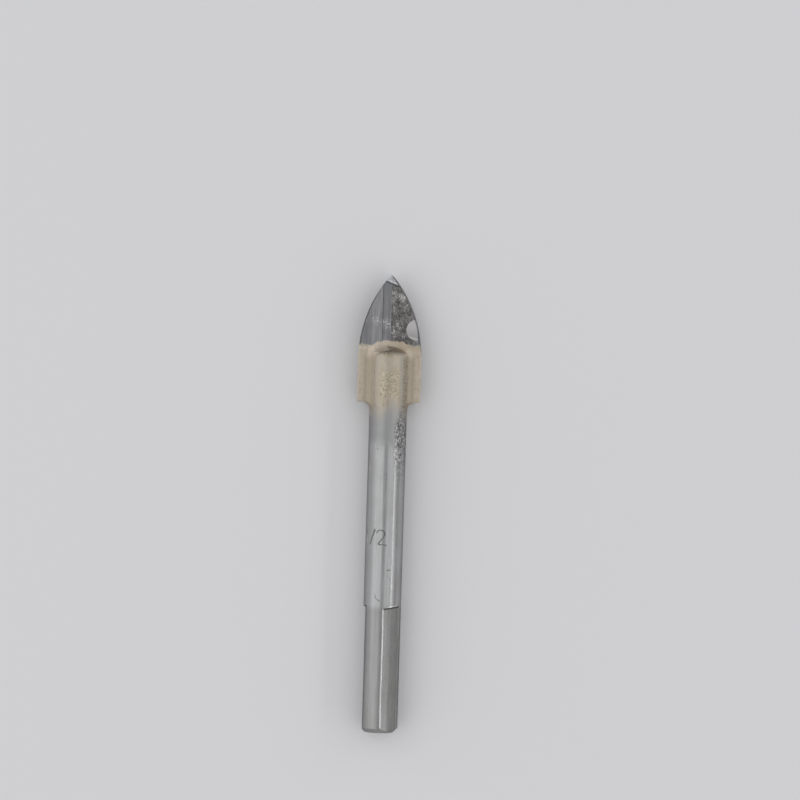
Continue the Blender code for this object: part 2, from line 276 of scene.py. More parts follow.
for degrees, y, size, length in (
    (14, -0.0144, 0.00026, 1.4),
    (22, -0.0150, 0.00028, 1.0),
    (11, -0.0156, 0.00022, 1.6),
    (36, -0.0020, 0.0003, 1.0),
    (42, 0.0020, 0.0003, 1.0),
    (58, -0.0048, 0.0003, 1.3),
    (62, 0.0012, 0.00034, 1.0),
    (-30, 0.0110, 0.00026, 1.4),
    (165, -0.0040, 0.00034, 1.8),
    (225, 0.0030, 0.00030, 1.0),
):
    put_down_everything()
    bpy.ops.mesh.primitive_ico_sphere_add(
        subdivisions=2,
        radius=size,
        location=on_bar(degrees, y, -size * 0.72),
        scale=(1, length, 1),
    )
    cut(bar, new_piece("knock"))

take(bar)
bpy.ops.object.shade_smooth_by_angle(angle=radians(24))
apply_modifier(bar, "WEIGHTED_NORMAL", keep_sharp=True)


# Steel finish
# Centreless grinding leaves fine rings round the bar over long drawing streaks. Brazing heat turned
# the nose a dull straw gold and smoked a short stretch behind the plate. The nose cone is painted dark
# brown as painted shade. Painted shade darkens each step, the grooves and the second pass of each flat,
# and painted highlights brighten the flats' edges and the burr at the step.
def node(tree, kind, inputs=None, **settings):
    made = tree.nodes.new("ShaderNode" + kind)
    for name, value in settings.items():
        setattr(made, name, value)
    for socket, value in (inputs or {}).items():
        if isinstance(value, bpy.types.NodeSocket):
            tree.links.new(value, made.inputs[socket])
        else:
            made.inputs[socket].default_value = value
    return made


def ramp(tree, factor, *stops):
    """A colour ramp. Each stop is a position and a grey level or a colour."""
    made = node(tree, "ValToRGB", {"Fac": factor})
    elements = made.color_ramp.elements
    while len(elements) < len(stops):
        elements.new(0.5)
    for element, (position, colour) in zip(elements, stops):
        element.position = position
        element.color = (*colour, 1) if isinstance(colour, tuple) else (colour, colour, colour, 1)
    return made.outputs["Color"]


def grain(tree, places, size, stretch=(1, 1, 1), detail=3.0, rough=0.5):
    """Noise whose features are about size metres, drawn out along an axis by stretch."""
    scale = [1 / (size * s) for s in stretch]
    spread = node(tree, "Mapping", {"Vector": places, "Scale": scale})
    made = node(
        tree,
        "TexNoise",
        {"Vector": spread.outputs[0], "Scale": 1.0, "Detail": detail, "Roughness": rough},
    )
    return made.outputs["Fac"]


def mixed(tree, factor, a, b, blend="MIX"):
    made = node(tree, "Mix", data_type="RGBA", blend_type=blend)
    for socket, value in ((0, factor), (6, a), (7, b)):
        if isinstance(value, bpy.types.NodeSocket):
            tree.links.new(value, made.inputs[socket])
        else:
            made.inputs[socket].default_value = (*value, 1) if isinstance(value, tuple) else value
    return made.outputs[2]


def reckon(tree, operation, a, b=0.0, c=0.0):
    made = node(tree, "Math", operation=operation)
    for socket, value in enumerate((a, b, c)):
        if isinstance(value, bpy.types.NodeSocket):
            tree.links.new(value, made.inputs[socket])
        else:
            made.inputs[socket].default_value = value
    return made.outputs[0]


def between(tree, value, start, end):
    """0 at start, 1 at end, eased. It works in either direction."""
    made = node(
        tree,
        "MapRange",
        {"Value": value, "From Min": start, "From Max": end},
        interpolation_type="SMOOTHSTEP",
    )
    return made.outputs[0]


def new_finish(name):
    """A metal's material: its tree, its main shader, and the piece's own coordinates."""
    made = bpy.data.materials.new(name)
    made.use_nodes = True
    tree = made.node_tree
    shader = tree.nodes["Principled BSDF"]
    shader.inputs["Metallic"].default_value = 1.0
    places = node(tree, "TexCoord").outputs["Object"]
    return made, tree, shader, places


steel, tree, shader, places = new_finish("ground_steel")
along = node(tree, "SeparateXYZ", {"Vector": places}).outputs
streaks = grain(tree, places, 0.00022, (1, 70, 1), 4)
rings = grain(tree, places, 0.00005, (60, 1, 60), 2)
clouds = grain(tree, places, 0.0030, (1, 2.2, 1), 4)
clean = ramp(
    tree,
    streaks,
    (0.3, (0.40, 0.40, 0.40)),
    (0.52, (0.455, 0.457, 0.46)),
    (0.75, (0.485, 0.487, 0.49)),
)
dulled = mixed(tree, ramp(tree, clouds, (0.42, 0.0), (0.75, 0.5)), clean, (0.335, 0.33, 0.32))
pits = grain(tree, places, 0.00028, (1, 1.5, 1), 4, 0.7)
heat_edge = reckon(tree, "MULTIPLY_ADD", reckon(tree, "SUBTRACT", clouds, 0.5), 0.008, along[1])
heated = between(tree, heat_edge, tip_y - 0.0305, tip_y - 0.0245)
smoked = reckon(
    tree,
    "MULTIPLY",
    between(tree, heat_edge, tip_y - 0.0355, tip_y - 0.0325),
    between(tree, heat_edge, tip_y - 0.0235, tip_y - 0.0260),
)
dulled = mixed(tree, reckon(tree, "MULTIPLY", smoked, 0.5), dulled, (0.30, 0.30, 0.302))
blotches = grain(tree, places, 0.0009, (1, 1.8, 1), 5, 0.62)
straw = ramp(
    tree,
    blotches,
    (0.28, (0.32, 0.25, 0.18)),
    (0.42, (0.46, 0.40, 0.315)),
    (0.54, (0.50, 0.44, 0.37)),
    (0.66, (0.51, 0.475, 0.375)),
    (0.80, (0.56, 0.51, 0.43)),
)
tinted = mixed(tree, heated, dulled, straw)
off_middle = reckon(tree, "ABSOLUTE", along[0])
beside_plate = between(tree, along[1], tip_y - 0.0262, tip_y - 0.0235)
tinted = mixed(
    tree,
    reckon(tree, "MULTIPLY", beside_plate, between(tree, off_middle, 0.0015, 0.0030)),
    tinted,
    (0.55, 0.50, 0.42),
)
dried = grain(tree, places, 0.00042, (1, 1, 1), 4, 0.65)
flux_tones = (
    (0.34, (0.29, 0.235, 0.175)),
    (0.46, (0.43, 0.375, 0.295)),
    (0.56, (0.53, 0.475, 0.36)),
    (0.68, (0.68, 0.62, 0.46)),
)
flux = ramp(tree, dried, *flux_tones)
flux_place = reckon(
    tree, "MULTIPLY", between(tree, off_middle, 0.0026, 0.0014), between(tree, clouds, 0.36, 0.50)
)
flux_length = reckon(
    tree,
    "MULTIPLY",
    between(tree, along[1], tip_y - 0.0255, tip_y - 0.0240),
    between(tree, along[1], tip_y - 0.0185, tip_y - 0.0205),
)
flux_place = reckon(tree, "MULTIPLY", flux_place, flux_length)
tinted = mixed(tree, reckon(tree, "MULTIPLY", flux_place, 0.8), tinted, flux)
near_wings = between(tree, along[1], tip_y - 0.0300, tip_y - 0.0265)
stain_reach = reckon(tree, "MULTIPLY_ADD", near_wings, -0.0014, along[0])
stain_place = reckon(
    tree,
    "MULTIPLY",
    between(tree, stain_reach, 0.0011, 0.0020),
    between(tree, along[1], tip_y - 0.0440, tip_y - 0.0350),
)
upper_side = between(tree, along[2], axis_height - 0.0008, axis_height + 0.0012)
stain_place = reckon(tree, "MULTIPLY", stain_place, upper_side)
stained = mixed(
    tree,
    reckon(tree, "MULTIPLY", stain_place, ramp(tree, pits, (0.43, 0.85), (0.52, 0.0))),
    tinted,
    (0.08, 0.075, 0.07),
)
stained = mixed(
    tree,
    reckon(tree, "MULTIPLY", stain_place, ramp(tree, pits, (0.54, 0.0), (0.62, 0.7))),
    stained,
    (0.85, 0.84, 0.82),
)
# Painted shade: the nose cone is painted dark brown.
cone_place = between(tree, along[1], shoulder_y + 0.0002, shoulder_y + 0.0009)
cone_shaded = mixed(
    tree,
    reckon(tree, "MULTIPLY", cone_place, ramp(tree, blotches, (0.35, 0.9), (0.62, 0.35))),
    stained,
    (0.17, 0.115, 0.07),
)
step_shade = edge_highlight = burr_highlight = ground = None
# At each flat: painted shade along the step and over the flat, and painted highlights on its edges and burr.
for turn in flat_turns:
    seen_from = node(tree, "Mapping", {"Vector": places, "Location": (0, -step_y, -axis_height)})
    local = node(
        tree,
        "VectorRotate",
        {"Vector": seen_from.outputs[0], "Axis": (0, 1, 0), "Angle": -turn},
        rotation_type="AXIS_ANGLE",
    )
    local = node(tree, "SeparateXYZ", {"Vector": local.outputs[0]}).outputs
    past_step = reckon(tree, "MULTIPLY_ADD", local[0], -tan(flat_skew), local[1])
    # Painted shade: a dark line along the step of the flat.
    near = reckon(
        tree,
        "MULTIPLY",
        between(tree, past_step, -0.0005, -0.00015),
        between(tree, past_step, 0.00008, -0.00002),
    )
    within = reckon(
        tree,
        "MULTIPLY",
        between(tree, local[2], 0.0028, 0.0030),
        between(tree, reckon(tree, "ABSOLUTE", local[0]), 0.00190, 0.00175),
    )
    near = reckon(tree, "MULTIPLY", near, within)
    # Weight of the painted shade on the flat: full on the second pass, 0.3 on the first.
    shaded_pass = reckon(tree, "MULTIPLY_ADD", between(tree, local[0], -0.0001, 0.0001), 0.7, 0.3)
    flat = reckon(tree, "MULTIPLY", within, between(tree, past_step, 0.0, -0.0001))
    flat = reckon(tree, "MULTIPLY", flat, shaded_pass)
    rim = reckon(tree, "MULTIPLY_ADD", reckon(tree, "SUBTRACT", clouds, 0.5), 0.0004, local[0])
    # Painted highlight along the flat's edges.
    edge = reckon(
        tree, "MULTIPLY", between(tree, rim, -0.00210, -0.00202), between(tree, rim, -0.00178, -0.00186)
    )
    edge = reckon(tree, "MULTIPLY", edge, between(tree, local[2], 0.0028, 0.0030))
    edge = reckon(tree, "MULTIPLY", edge, between(tree, past_step, 0.0, -0.0004))
    edge = reckon(tree, "MULTIPLY", edge, between(tree, along[1], tail_y + 0.0009, tail_y + 0.0014))
    # Painted highlight along the burr just above the step.
    above = reckon(
        tree,
        "MULTIPLY",
        between(tree, past_step, 0.00005, 0.00011),
        between(tree, past_step, 0.00030, 0.00020),
    )
    above = reckon(tree, "MULTIPLY", above, between(tree, reckon(tree, "ABSOLUTE", local[0]), 0.0015, 0.0004))
    above = reckon(tree, "MULTIPLY", above, between(tree, local[2], 0.0028, 0.0030))
    step_shade = near if step_shade is None else reckon(tree, "MAXIMUM", step_shade, near)
    edge_highlight = edge if edge_highlight is None else reckon(tree, "MAXIMUM", edge_highlight, edge)
    burr_highlight = above if burr_highlight is None else reckon(tree, "MAXIMUM", burr_highlight, above)
    ground = flat if ground is None else reckon(tree, "MAXIMUM", ground, flat)
off_axis = node(
    tree,
    "VectorMath",
    {
        0: node(tree, "CombineXYZ", {"X": along[0], "Z": along[2]}).outputs[0],
        1: (0, 0, axis_height),
    },
    operation="DISTANCE",
).outputs["Value"]
# Painted shade in the grooves of the mark, the scratches and the knocks, below the bar's surface.
groove_shade = reckon(
    tree,
    "MULTIPLY",
    between(tree, off_axis, shank_radius - 0.00002, shank_radius - 0.00009),
    between(tree, along[1], step_y + 0.0006, step_y + 0.0010),
)
groove_shade = reckon(tree, "MULTIPLY", groove_shade, between(tree, along[1], tip_y - 0.031, tip_y - 0.034))
# Painted shade at the steps and in the grooves, mixed in as a near-black colour.
step_and_groove_shade = reckon(
    tree, "MAXIMUM", reckon(tree, "MULTIPLY", step_shade, 0.85), reckon(tree, "MULTIPLY", groove_shade, 0.58)
)
shade_and_grip = mixed(tree, step_and_groove_shade, cone_shaded, (0.05, 0.045, 0.04))
gripped = between(tree, along[1], step_y + 0.0006, step_y - 0.0008)
shade_and_grip = mixed(tree, reckon(tree, "MULTIPLY", gripped, 0.9), shade_and_grip, (0.77, 0.76, 0.75), "MULTIPLY")
# Painted shade: each flat is darkened, its second pass the most.
shade_and_grip = mixed(tree, ground, shade_and_grip, (0.80, 0.80, 0.79), "MULTIPLY")
# Painted highlights on the flats' edges and the burrs, as a near-white colour.
painted_highlight = reckon(tree, "MULTIPLY", reckon(tree, "MAXIMUM", edge_highlight, burr_highlight), 0.75)
tree.links.new(mixed(tree, painted_highlight, shade_and_grip, (0.93, 0.93, 0.93)), shader.inputs["Base Color"])
shader.inputs["Specular Tint"].default_value = (0.55, 0.55, 0.55, 1)
wear = grain(tree, places, 0.0009, (1, 5, 1), 4)
polish = ramp(tree, wear, (0.3, 0.19), (0.7, 0.28))
polish = mixed(tree, gripped, polish, ramp(tree, wear, (0.3, 0.20), (0.7, 0.33)))
roughened = mixed(
    tree, reckon(tree, "MAXIMUM", heated, smoked), polish, ramp(tree, blotches, (0.3, 0.38), (0.7, 0.52))
)
tree.links.new(roughened, shader.inputs["Roughness"])
relief = reckon(
    tree,
    "ADD",
    reckon(tree, "MULTIPLY_ADD", streaks, 0.5, reckon(tree, "MULTIPLY", rings, 0.5)),
    reckon(tree, "MULTIPLY", reckon(tree, "MULTIPLY", blotches, heated), 3.0),
)
relief = reckon(tree, "MULTIPLY_ADD", reckon(tree, "MULTIPLY", pits, stain_place), 9.0, relief)
dents = node(tree, "Bump", {"Strength": 0.35, "Distance": 0.00002, "Height": relief})
tree.links.new(dents.outputs[0], shader.inputs["Normal"])
bar.data.materials.clear()
bar.data.materials.append(steel)
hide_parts("shank")
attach(bar, "root")

# Carbide plate
# The plate is pressed and sintered tungsten carbide, 3 mm thick. Its outline and its faces are ground
# with diamond wheels: curved cutting edges with relief behind them, a flank that falls away from the
# middle on each trailing side, and a small facet on each side of the point.
plate_half_width = 0.00635
plate_thickness = 0.0030
plate_length = 0.0255
point_length = 0.0167
edge_inset = plate_thickness * tan(radians(9))
flank_angle = radians(12)
flank_length = 0.01277
flank_wheel_radius = 0.0045
run_out_across = 0.0053
run_out_from_tip = 0.0109
run_out_radius = 0.0020
edge_steps = 44

put_down_everything()
bpy.ops.mesh.primitive_cube_add(
    size=1,
    location=(0, tip_y - plate_length / 2, axis_height),
    scale=(2 * plate_half_width, plate_length, plate_thickness),
)
plate = new_piece("carbide_plate")
pick(plate, "FACE", lambda middle, corners: True)
bpy.ops.mesh.bisect(plane_co=(0, tip_y - point_length, 0), plane_no=(0, 1, 0))
done()
front_end = tip_y - point_length - 1e-6
pick(
    plate,
    "EDGE",
    lambda middle, corners: min(c.y for c in corners) > front_end
    and abs(corners[0].y - corners[1].y) > 0.001,
)
bpy.ops.mesh.subdivide(number_cuts=edge_steps)
done()

rise = plate_half_width - edge_inset / 2
edge_radius = (point_length**2 + rise**2) / (2 * rise)
for ring in range(edge_steps + 1):
    from_tip = point_length * ring / (edge_steps + 1)
    ring_y = tip_y - from_tip
    half_width = plate_half_width - edge_radius + sqrt(edge_radius**2 - (point_length - from_tip) ** 2)
    fade = min(1.0, (point_length - from_tip) / 0.0040)
    inset = edge_inset * fade * fade * (3 - 2 * fade)
    pick(plate, "VERT", lambda middle, corners: abs(middle.y - ring_y) < 1e-6)
    bpy.ops.transform.resize(
        value=(half_width / plate_half_width, 1, 1), center_override=(0, ring_y, axis_height)
    )
    done()
    for side in (1, -1):
        pick(
            plate,
            "VERT",
            lambda middle, corners: abs(middle.y - ring_y) < 1e-6
            and middle.x * side > 0
            and (middle.z - axis_height) * side > 0,
        )
        bpy.ops.transform.translate(value=(-side * inset, 0, 0))
        done()
pick(plate, "VERT", lambda middle, corners: True)
bpy.ops.mesh.remove_doubles(threshold=1e-6)
bpy.ops.mesh.normals_make_consistent(inside=False)
done()

plate_blank = copied(plate, "plate_blank")
drop = plate_half_width * tan(flank_angle)
run_out = sqrt(2 * flank_wheel_radius * drop - drop**2)
flank_end = flank_length - run_out
far_end = flank_end + flank_wheel_radius
for side in (1, -1):
    put_down_everything()
    bpy.ops.mesh.primitive_cube_add(
        size=1, location=(0.005, far_end / 2 - 0.005, 0.005), scale=(0.010, far_end + 0.010, 0.010)
    )
    wheel = new_piece("flank_wheel")
    pick(
        wheel,
        "EDGE",
        lambda middle, corners: all(c.y > far_end / 2 and c.z < 0.001 for c in corners),
    )
    bpy.ops.mesh.bevel(offset=flank_wheel_radius, segments=20, affect="EDGES")
    done()
    wheel.data.transform(
        Matrix.Translation((0, tip_y, axis_height))
        @ Matrix.Rotation(0 if side > 0 else pi, 4, "Y")
        @ Matrix.Translation((0, 0, plate_thickness / 2))
        @ Matrix.Rotation(flank_angle, 4, "Y")
        @ Matrix.Diagonal((1, -1, 1, 1))
    )
    wheel.data.flip_normals()
    cut(plate, wheel)

facet_edge = plate_half_width - edge_radius + sqrt(edge_radius**2 - (point_length - 0.0025) ** 2)
on_ridge = Vector((0, -0.0015, plate_thickness / 2))
on_edge = Vector((facet_edge, -0.0025, plate_thickness / 2 - facet_edge * tan(flank_angle)))
facet_normal = (on_edge - on_ridge).cross(Vector((0, 0, 0.00075)) - on_ridge).normalized()
facet_normal *= 1 if facet_normal.z > 0 else -1
for side in (1, -1):
    pick(plate, "FACE", lambda middle, corners: True)
    bpy.ops.mesh.bisect(
        plane_co=(on_ridge.x * side, tip_y + on_ridge.y, axis_height + on_ridge.z * side),
        plane_no=(facet_normal.x * side, facet_normal.y, facet_normal.z * side),
        use_fill=True,
        clear_outer=True,
    )
    done()

apply_modifier(plate, "REMESH", mode="SHARP", octree_depth=8, scale=0.99, use_remove_disconnected=False)


def weigh(piece, name, weight):
    """A vertex group whose weight at each vertex comes from its place."""
    group = piece.vertex_groups.new(name=name)
    for vertex in piece.data.vertices:
        share = weight(vertex.co)
        if share > 0:
            group.add([vertex.index], min(1.0, share), "REPLACE")
    return name


def roughen(piece, group, size, height, level, depth):
    """Pushes the surface in and out along its normal by noise of a feature size, in metres."""
    pattern = bpy.data.textures.new("roughening", "CLOUDS")
    pattern.noise_scale = size
    pattern.noise_depth = depth
    apply_modifier(
        piece,
        "DISPLACE",
        texture=pattern,
        strength=height,
        mid_level=level,
        vertex_group=group,
        texture_coords="LOCAL",
    )


def flank_share(place):
    """1 on the rough trailing flanks of the two wide faces, 0 on the ground ones."""
    side = 1 if place.z > axis_height else -1
    across = place.x * side
    height = (place.z - axis_height) * side
    from_tip = tip_y - place.y
    on_face = 0.0003 < height < 0.00152 and 0 < from_tip < flank_length + 0.00003
    from_run_out = sqrt((across - run_out_across) ** 2 + (from_tip - run_out_from_tip) ** 2)
    off_run_out = min(1.0, max(0.0, (from_run_out - run_out_radius) / 0.0003))
    return min(off_run_out, max(0.0, (across - 0.00005) / 0.0003)) if on_face else 0.0


flanks = weigh(plate, "flanks", flank_share)
roughen(plate, flanks, 0.00040, 0.00011, 0.62, 3)
roughen(plate, flanks, 0.0011, 0.00010, 0.6, 1)


# Carbide finish
# Ground carbide is a satin dark grey with straight wheel marks. The flanks keep a dark, coarse skin
# from the first rough grind, and the base of the plate has the straw tint of the brazing heat.
carbide, tree, shader, places = new_finish("ground_carbide")
along = node(tree, "SeparateXYZ", {"Vector": places}).outputs
facing = node(tree, "SeparateXYZ", {"Vector": node(tree, "TexCoord").outputs["Normal"]}).outputs
lift = reckon(tree, "SUBTRACT", along[2], axis_height)
across = reckon(tree, "MULTIPLY", along[0], reckon(tree, "SIGN", lift))
from_tip = reckon(tree, "SUBTRACT", tip_y, along[1])
wheel_marks = grain(tree, places, 0.00010, (1, 45, 1), 4)
speckle = grain(tree, places, 0.00028, (1, 1.3, 1), 6, 0.72)
patches = grain(tree, places, 0.0011, (1, 1.6, 1), 2)
clouds = grain(tree, places, 0.0016, (1, 2, 1), 4)
rake = ramp(
    tree, wheel_marks, (0.3, (0.25, 0.25, 0.262)), (0.5, (0.35, 0.347, 0.362)), (0.72, (0.46, 0.456, 0.472))
)
passes = ramp(
    tree,
    node(tree, "MapRange", {"Value": across, "From Min": -0.0064, "From Max": 0.0}).outputs[0],
    (0.0, 0.80),
    (0.39, 0.84),
    (0.42, 1.0),
    (0.725, 1.0),
    (0.740, 0.30),
    (0.765, 0.70),
    (0.86, 0.92),
    (0.93, 0.74),
    (1.0, 0.80),
)
rake = mixed(tree, 1.0, rake, passes, "MULTIPLY")
rake = mixed(tree, ramp(tree, clouds, (0.42, 0.0), (0.7, 0.5)), rake, (0.21, 0.215, 0.22))
on_plate = node(tree, "CombineXYZ", {"X": across, "Y": from_tip}).outputs[0]


def near_spot(tree, x, y, reach):
    """1 around a spot of the plate's faces, fading to 0 at twice its reach."""
    away = node(tree, "VectorMath", {0: on_plate, 1: (x, y, 0)}, operation="DISTANCE")
    return between(tree, away.outputs["Value"], 2 * reach, 0.5 * reach)


flecks = reckon(
    tree, "MAXIMUM", near_spot(tree, -0.0030, 0.0092, 0.0006), near_spot(tree, -0.0008, 0.0098, 0.0008)
)
flecks = reckon(tree, "MULTIPLY", flecks, ramp(tree, speckle, (0.52, 0.0), (0.57, 0.9)))
rake = mixed(tree, flecks, rake, (0.78, 0.78, 0.77))
behind_shoulder = reckon(tree, "SUBTRACT", point_length, from_tip)
half_chord = reckon(tree, "SUBTRACT", edge_radius**2, reckon(tree, "POWER", behind_shoulder, 2.0))
half_chord = reckon(tree, "SQRT", half_chord)
from_edge = reckon(tree, "ADD", reckon(tree, "ADD", across, half_chord), plate_half_width - edge_radius)
from_edge = reckon(tree, "MULTIPLY_ADD", patches, -0.00030, from_edge)
worn_edge = reckon(
    tree, "MULTIPLY", between(tree, from_edge, 0.00016, 0.00002), between(tree, from_tip, 0.0025, 0.0045)
)
rake = mixed(tree, reckon(tree, "MULTIPLY", worn_edge, 0.7), rake, (0.10, 0.10, 0.10))
skin_grain_and_light = reckon(tree, "MULTIPLY_ADD", patches, 0.35, reckon(tree, "MULTIPLY", speckle, 0.65))
# Painted light: the flank's skin is made a little lighter towards the tip.
skin_grain_and_light = reckon(tree, "MULTIPLY_ADD", between(tree, from_tip, 0.0080, 0.0035), 0.03, skin_grain_and_light)
rough_skin = ramp(
    tree,
    skin_grain_and_light,
    (0.38, (0.068, 0.067, 0.066)),
    (0.46, (0.138, 0.134, 0.130)),
    (0.53, (0.212, 0.204, 0.200)),
    (0.59, (0.34, 0.33, 0.325)),
    (0.66, (0.68, 0.67, 0.66)),
)
on_flank = reckon(
    tree,
    "MULTIPLY",
    between(tree, across, 0.00000, 0.00012),
    between(tree, from_tip, 0.0146, 0.0138),
)
skin = mixed(tree, on_flank, rake, rough_skin)
# The run-out patch is ground smooth and painted a light grey, as a painted reflection.
run_out_middle = (run_out_across, run_out_from_tip, 0)
from_run_out = node(tree, "VectorMath", {0: on_plate, 1: run_out_middle}, operation="DISTANCE")
on_run_out = between(
    tree, from_run_out.outputs["Value"], run_out_radius + 0.00018, run_out_radius + 0.00006
)
skin = mixed(tree, on_run_out, skin, (0.53, 0.515, 0.515))
# Painted shade: the plate's side faces, found by their facing, are painted dark.
on_land = between(tree, reckon(tree, "ABSOLUTE", facing[0]), 0.45, 0.65)
skin = mixed(tree, on_land, skin, (0.13, 0.13, 0.135))
facet_line = reckon(tree, "MULTIPLY_ADD", across, -0.36, from_tip)
off_land = reckon(tree, "SUBTRACT", 1.0, on_land)
on_facet = reckon(tree, "MULTIPLY", between(tree, facet_line, 0.00158, 0.00150), off_land)
# A dark line of painted shadow runs along the lower edge of each point facet.
shadow_under_facet = reckon(tree, "MULTIPLY", between(tree, facet_line, 0.00200, 0.00175), 0.75)
skin = mixed(tree, shadow_under_facet, skin, (0.07, 0.07, 0.07))
# The point facets are painted a lighter, mottled grey, as a painted highlight.
facet_sheen = ramp(
    tree,
    speckle,
    (0.36, (0.46, 0.46, 0.48)),
    (0.50, (0.60, 0.60, 0.63)),
    (0.64, (0.77, 0.77, 0.80)),
)
skin = mixed(tree, on_facet, skin, facet_sheen)
heat_edge = reckon(tree, "MULTIPLY_ADD", reckon(tree, "SUBTRACT", patches, 0.5), 0.0016, from_tip)
heated = between(tree, heat_edge, 0.0138, 0.0143)
straw = ramp(
    tree,
    clouds,
    (0.30, (0.36, 0.31, 0.24)),
    (0.44, (0.47, 0.42, 0.36)),
    (0.54, (0.48, 0.45, 0.35)),
    (0.66, (0.56, 0.51, 0.42)),
)
tree.links.new(mixed(tree, heated, skin, straw), shader.inputs["Base Color"])
dull = reckon(tree, "MAXIMUM", on_flank, heated)
tree.links.new(reckon(tree, "MULTIPLY_ADD", dull, 0.16, 0.36), shader.inputs["Roughness"])
relief = reckon(
    tree, "ADD", reckon(tree, "MULTIPLY", wheel_marks, 0.5), reckon(tree, "MULTIPLY", speckle, on_flank)
)
dents = node(tree, "Bump", {"Strength": 0.5, "Distance": 0.00003, "Height": relief})
tree.links.new(dents.outputs[0], shader.inputs["Normal"])
take(plate)
bpy.ops.object.shade_smooth_by_angle(angle=radians(30))
plate.data.materials.clear()
plate.data.materials.append(carbide)
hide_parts("carbide_tip")
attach(plate, "root")

# Braze
# A brass foil is melted in the slot with flux. It draws out into a hollow fillet all round the joint
# and thins to a film, whose edge wanders where it wetted the steel and the carbide. Some of it
# dried as a crust on the front of the nose.
fillet_solid = copied(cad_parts["braze_joint"], "fillet_solid")
pick(fillet_solid, "VERT", lambda middle, corners: True)
bpy.ops.mesh.remove_doubles(threshold=1e-7)
done()
fillet_shape = BVHTree.FromObject(fillet_solid, bpy.context.evaluated_depsgraph_get())
apply_modifier(fillet_solid, "DISPLACE", strength=0.00003, mid_level=0.0)


def brazed_zone():
    put_down_everything()
    bpy.ops.mesh.primitive_cube_add(
        size=1, location=(0, tip_y - 0.0202, axis_height), scale=(0.014, 0.0168, 0.010)
    )
    return new_piece("brazed_zone")


braze = copied(solid_bar, "braze_fillet")
cut(braze, brazed_zone(), "INTERSECT")
wetted_plate = copied(plate_blank, "wetted_plate")
cut(wetted_plate, brazed_zone(), "INTERSECT")
take(braze)
wetted_plate.select_set(True)
fillet_solid.select_set(True)
bpy.ops.object.join()
apply_modifier(braze, "REMESH", mode="VOXEL", voxel_size=0.00009, adaptivity=0.0)
apply_modifier(braze, "SMOOTH", factor=0.5, iterations=16)


def crust_share(place):
    """1 inside the patch where flux and brass dried on the front of the nose, 0 outside it."""
    from_tip = tip_y - place.y
    edges = (place.x + 0.0022, 0.0026 - place.x, from_tip - 0.0186, 0.0251 - from_tip)
    return max(0.0, min(1.0, min(edges) / 0.0012)) if place.z > axis_height else 0.0


def film_share(place):
    """1 on the base of the plate, which the braze wets out to its edges, 0 elsewhere."""
    on_plate = abs(place.z - axis_height) < 0.0022 and abs(place.x) > 0.0030
    front = 0.0142 + 0.00018 * sin(place.x * 2100) + 0.00010 * sin(place.x * 6700 + 1)
    return max(0.0, min(1.0, (tip_y - place.y - front) / 0.0003)) if on_plate else 0.0


def bare_share(place):
    """0 on the fillet, the film and the crust, rising to 1 where the steel or the carbide stays bare."""
    away = fillet_shape.find_nearest(place)[3]
    return min(1.0, away / 0.0012, 1 - crust_share(place), 1 - film_share(place))


crust = weigh(braze, "crust", crust_share)
film = weigh(braze, "film", film_share)
bare = weigh(braze, "bare", bare_share)
roughen(braze, "", 0.0016, 0.00008, 0.35, 1)
roughen(braze, "", 0.0005, 0.00005, 0.5, 2)
roughen(braze, crust, 0.00060, 0.00018, 0.40, 2)
apply_modifier(braze, "DISPLACE", strength=-0.00009, mid_level=0.0, vertex_group=bare)
apply_modifier(braze, "DISPLACE", strength=0.00004, mid_level=0.0, vertex_group=film)
clearance = 0.000004
inside = plate_half_width - clearance
for vertex in braze.data.vertices:
    vertex.co.z = min(vertex.co.z, 2 * axis_height - clearance)
    vertex.co.x = max(-inside, min(inside, vertex.co.x))
cut(braze, plate_blank, solver="MANIFOLD")
cut(braze, solid_bar, solver="MANIFOLD")
take(braze)
bpy.ops.object.shade_smooth_by_angle(angle=radians(60))

brass, tree, shader, places = new_finish("braze_metal")
along = node(tree, "SeparateXYZ", {"Vector": places}).outputs
blotches = grain(tree, places, 0.0009, (1, 1.4, 1), 5, 0.6)
fine = grain(tree, places, 0.00042, (1, 1, 1), 4, 0.65)
tan_metal = ramp(
    tree,
    blotches,
    (0.28, (0.44, 0.365, 0.275)),
    (0.42, (0.54, 0.465, 0.375)),
    (0.54, (0.565, 0.485, 0.40)),
    (0.66, (0.585, 0.535, 0.425)),
    (0.80, (0.64, 0.585, 0.50)),
)
from_tip = reckon(tree, "SUBTRACT", tip_y, along[1])
off_middle = reckon(tree, "ABSOLUTE", along[0])
# Painted shade: the fillet between the bar and each wing is painted a darker tan.
on_sides = reckon(
    tree, "MULTIPLY", between(tree, off_middle, 0.0020, 0.0032), between(tree, off_middle, 0.0056, 0.0044)
)
on_sides = reckon(tree, "MULTIPLY", on_sides, between(tree, from_tip, 0.0150, 0.0175))
tan_metal = mixed(tree, on_sides, tan_metal, (0.385, 0.335, 0.262))
# The front of the nose is painted lighter on the left and darker on the right, as painted light and shade.
to_right = between(tree, along[0], -0.0005, 0.0025)
front_light_and_shade = mixed(tree, to_right, (0.70, 0.61, 0.51), (0.47, 0.385, 0.275))
at_front = reckon(tree, "MULTIPLY", between(tree, from_tip, 0.0156, 0.0146), 0.5)
tan_metal = mixed(tree, at_front, tan_metal, front_light_and_shade)
at_back = reckon(tree, "MULTIPLY", between(tree, from_tip, 0.0262, 0.0283), 0.8)
tan_metal = mixed(tree, at_back, tan_metal, (0.40, 0.39, 0.38))
sooty = reckon(
    tree, "MULTIPLY", between(tree, along[0], 0.0025, 0.0029), between(tree, along[0], 0.0041, 0.0036)
)
sooty = reckon(tree, "MULTIPLY", sooty, between(tree, from_tip, 0.0154, 0.0166))
specks = grain(tree, places, 0.00020, (1, 1, 1), 3, 0.7)
